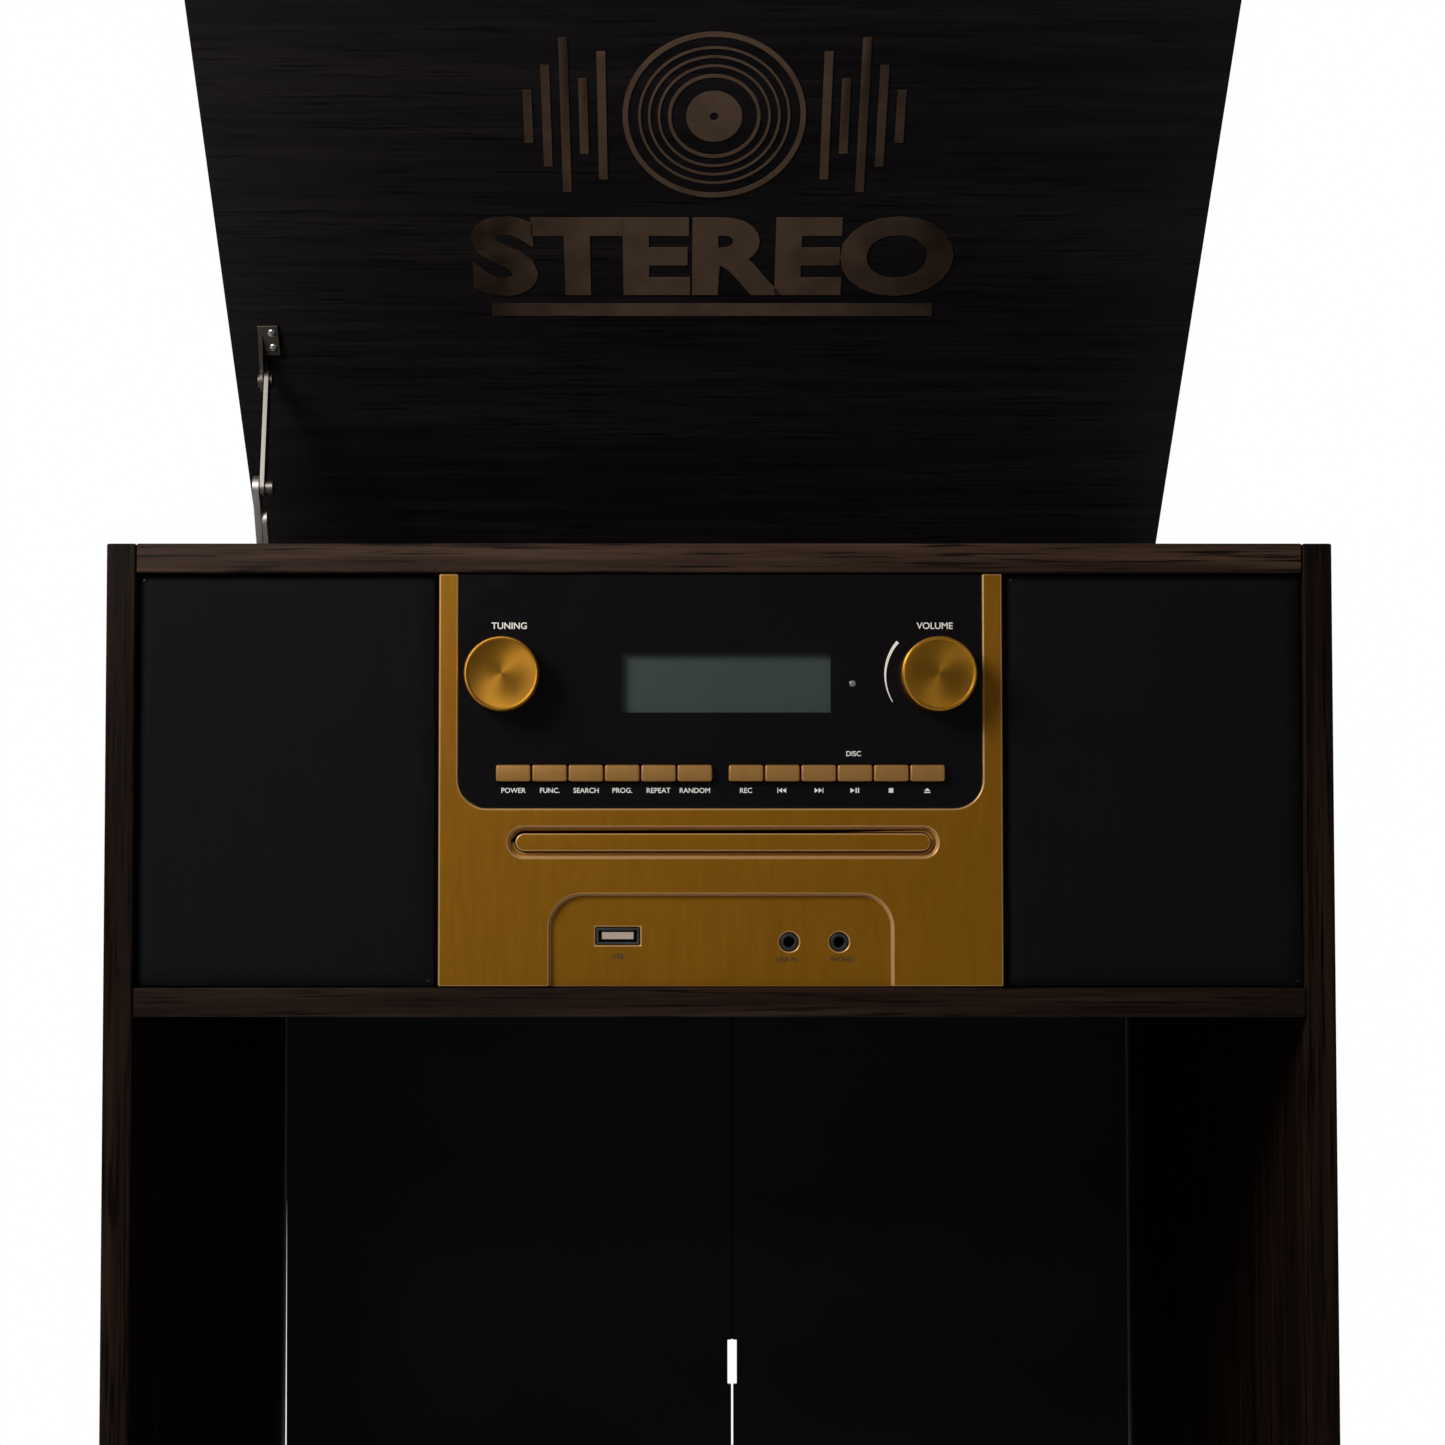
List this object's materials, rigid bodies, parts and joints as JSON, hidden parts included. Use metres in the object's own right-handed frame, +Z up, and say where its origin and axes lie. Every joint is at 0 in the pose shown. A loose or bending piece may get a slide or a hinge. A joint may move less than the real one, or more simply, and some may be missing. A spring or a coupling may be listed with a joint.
{
  "type": "radio phonograph console",
  "caption": "Wooden console with a hinged lid over a record player, a radio and disc player front between two grilles, and an open record bay on legs.",
  "frame": {"origin": "on the floor, under the centre of the whole object with its lid standing open", "axes": "+Z up, the front with the radio faces -Y, +X to the right of somebody facing the front"},
  "size_m": [0.42, 0.3786, 0.9447],
  "materials": {
    "back_sheet": "thin dark fibreboard, matt",
    "baffle_board": "black-painted board, matt",
    "belt_rubber": "matt black",
    "black_moulding": "fine-textured black moulding",
    "bright_metal": "plated metal",
    "dark_veneer": "dark brown wood-grain veneer, satin",
    "display": "grey-green display glass, unlit",
    "gold_key": "gold-coated keys",
    "gold_panel": "satin gold",
    "grille_cloth": "tight black speaker cloth over a frame",
    "hinge_steel": "plated steel strip",
    "leg_wood": "dark stained turned wood, satin",
    "platter_metal": "turned, bright edge",
    "pulley_brass": "turned",
    "speaker": "black paper cone in a black frame",
    "spun_gold": "spun gold-anodised faces with a bright rim",
    "window": "black gloss"
  },
  "bodies": {
    "cabinet": {"back_panel_left": "back_sheet", "back_panel_right": "back_sheet", "bottom_panel": "dark_veneer", "cd_mechanism": "black_moulding", "control_window": "window", "drive_belt": "belt_rubber", "fascia_panel": "gold_panel", "front_baffle": "baffle_board", "grille_left": "grille_cloth", "grille_right": "grille_cloth", "hinge_leaf_case_left": "hinge_steel", "hinge_leaf_case_right": "hinge_steel", "jack_headphone": "black_moulding", "jack_line_in": "black_moulding", "lcd_display": "display", "leg_front_left": "leg_wood", "leg_front_right": "leg_wood", "leg_rear_left": "leg_wood", "leg_rear_right": "leg_wood", "middle_shelf": "dark_veneer", "motor": "bright_metal", "power_unit": "black_moulding", "rear_cover": "back_sheet", "side_panel_left": "dark_veneer", "side_panel_right": "dark_veneer", "speaker_left": "speaker", "speaker_right": "speaker", "tonearm_base": "black_moulding", "top_rail_front": "dark_veneer", "top_rail_rear": "dark_veneer", "turntable_deck": "black_moulding", "usb_port": "bright_metal"},
    "lid": {"lid_panel": "dark_veneer", "hinge_leaf_lid_left": "hinge_steel", "hinge_leaf_lid_right": "hinge_steel", "stay_lid_bracket": "hinge_steel"},
    "stay_lower": {"stay_lower_arm": "hinge_steel"},
    "stay_upper": {"stay_upper_arm": "hinge_steel"},
    "tuning": {"knob_tuning": "spun_gold"},
    "volume": {"knob_volume": "spun_gold"},
    "tray": {"cd_tray": "gold_panel"},
    "platter": {"platter": "platter_metal"},
    "pulley": {"motor_pulley": "pulley_brass"},
    "yoke": {"tonearm_yoke": "bright_metal"},
    "arm": {"tonearm": "bright_metal", "counterweight": "bright_metal"},
    "cue": {"cue_lever": "bright_metal"},
    "speed": {"speed_selector": "black_moulding"},
    "key_power": {"button_power": "gold_key"},
    "key_function": {"button_function": "gold_key"},
    "key_search": {"button_search": "gold_key"},
    "key_program": {"button_program": "gold_key"},
    "key_repeat": {"button_repeat": "gold_key"},
    "key_random": {"button_random": "gold_key"},
    "key_record": {"button_record": "gold_key"},
    "key_back": {"button_back": "gold_key"},
    "key_forward": {"button_forward": "gold_key"},
    "key_play": {"button_play": "gold_key"},
    "key_stop": {"button_stop": "gold_key"},
    "key_eject": {"button_eject": "gold_key"}
  },
  "joints": [
    {"name": "lid_hinge", "type": "hinge", "parent": "cabinet", "child": "lid", "pos_m": [0, 0.184, 0.68], "axis": [-1, 0, 0], "range_deg": [-45, 0]},
    {"name": "stay_lower_pivot", "type": "hinge", "parent": "cabinet", "child": "stay_lower", "pos_m": [-0.1965, 0.118, 0.632], "axis": [-1, 0, 0], "range_deg": [-60, 0.1]},
    {"name": "stay_upper_pivot", "type": "hinge", "parent": "lid", "child": "stay_upper", "pos_m": [-0.1944, 0.06945, 0.78324], "axis": [-1, 0, 0], "range_deg": [-0.1, 70.4]},
    {"name": "tuning_turn", "type": "hinge", "parent": "cabinet", "child": "tuning", "pos_m": [-0.074, -0.185, 0.6347], "axis": [0, -1, 0], "continuous": true},
    {"name": "volume_turn", "type": "hinge", "parent": "cabinet", "child": "volume", "pos_m": [0.0745, -0.185, 0.6347], "axis": [0, -1, 0], "range_deg": [-150, 150]},
    {"name": "key_power_press", "type": "slide", "parent": "cabinet", "child": "key_power", "axis": [0, 1, 0], "range_m": [0, 0.0015], "stiffness_N_per_m": 400, "springref_m": -0.001},
    {"name": "key_function_press", "type": "slide", "parent": "cabinet", "child": "key_function", "axis": [0, 1, 0], "range_m": [0, 0.0015], "stiffness_N_per_m": 400, "springref_m": -0.001},
    {"name": "key_search_press", "type": "slide", "parent": "cabinet", "child": "key_search", "axis": [0, 1, 0], "range_m": [0, 0.0015], "stiffness_N_per_m": 400, "springref_m": -0.001},
    {"name": "key_program_press", "type": "slide", "parent": "cabinet", "child": "key_program", "axis": [0, 1, 0], "range_m": [0, 0.0015], "stiffness_N_per_m": 400, "springref_m": -0.001},
    {"name": "key_repeat_press", "type": "slide", "parent": "cabinet", "child": "key_repeat", "axis": [0, 1, 0], "range_m": [0, 0.0015], "stiffness_N_per_m": 400, "springref_m": -0.001},
    {"name": "key_random_press", "type": "slide", "parent": "cabinet", "child": "key_random", "axis": [0, 1, 0], "range_m": [0, 0.0015], "stiffness_N_per_m": 400, "springref_m": -0.001},
    {"name": "key_record_press", "type": "slide", "parent": "cabinet", "child": "key_record", "axis": [0, 1, 0], "range_m": [0, 0.0015], "stiffness_N_per_m": 400, "springref_m": -0.001},
    {"name": "key_back_press", "type": "slide", "parent": "cabinet", "child": "key_back", "axis": [0, 1, 0], "range_m": [0, 0.0015], "stiffness_N_per_m": 400, "springref_m": -0.001},
    {"name": "key_forward_press", "type": "slide", "parent": "cabinet", "child": "key_forward", "axis": [0, 1, 0], "range_m": [0, 0.0015], "stiffness_N_per_m": 400, "springref_m": -0.001},
    {"name": "key_play_press", "type": "slide", "parent": "cabinet", "child": "key_play", "axis": [0, 1, 0], "range_m": [0, 0.0015], "stiffness_N_per_m": 400, "springref_m": -0.001},
    {"name": "key_stop_press", "type": "slide", "parent": "cabinet", "child": "key_stop", "axis": [0, 1, 0], "range_m": [0, 0.0015], "stiffness_N_per_m": 400, "springref_m": -0.001},
    {"name": "key_eject_press", "type": "slide", "parent": "cabinet", "child": "key_eject", "axis": [0, 1, 0], "range_m": [0, 0.0015], "stiffness_N_per_m": 400, "springref_m": -0.001},
    {"name": "tray_slide", "type": "slide", "parent": "cabinet", "child": "tray", "axis": [0, -1, 0], "range_m": [0, 0.132]},
    {"name": "platter_spin", "type": "hinge", "parent": "cabinet", "child": "platter", "pos_m": [-0.036, 0.0106, 0.64], "axis": [0, 0, -1], "continuous": true},
    {"name": "pulley_spin", "type": "hinge", "parent": "cabinet", "child": "pulley", "pos_m": [-0.11567, 0.0566, 0.626], "axis": [0, 0, -1], "continuous": true},
    {"name": "arm_swing", "type": "hinge", "parent": "cabinet", "child": "yoke", "pos_m": [0.148, 0.108, 0.65], "axis": [0, 0, -1], "range_deg": [0, 48]},
    {"name": "cue_turn", "type": "hinge", "parent": "cabinet", "child": "cue", "pos_m": [0.17, 0.098, 0.635], "axis": [-1, 0, 0], "range_deg": [0, 45]},
    {"name": "arm_lift", "type": "hinge", "parent": "yoke", "child": "arm", "pos_m": [0.148, 0.108, 0.66], "axis": [-1, 0, 0], "range_deg": [0, 2.7]},
    {"name": "speed_turn", "type": "hinge", "parent": "cabinet", "child": "speed", "pos_m": [0.178, -0.07, 0.625], "axis": [0, 0, -1], "range_deg": [-30, 30]}
  ],
  "couplings": [
    {"joint": "stay_lower_pivot", "follows": "lid_hinge", "ratio": 1.3307},
    {"joint": "stay_upper_pivot", "follows": "lid_hinge", "ratio": -1.562},
    {"joint": "pulley_spin", "follows": "platter_spin", "ratio": 8.75},
    {"joint": "arm_lift", "follows": "cue_turn", "ratio": 0.06}
  ]
}
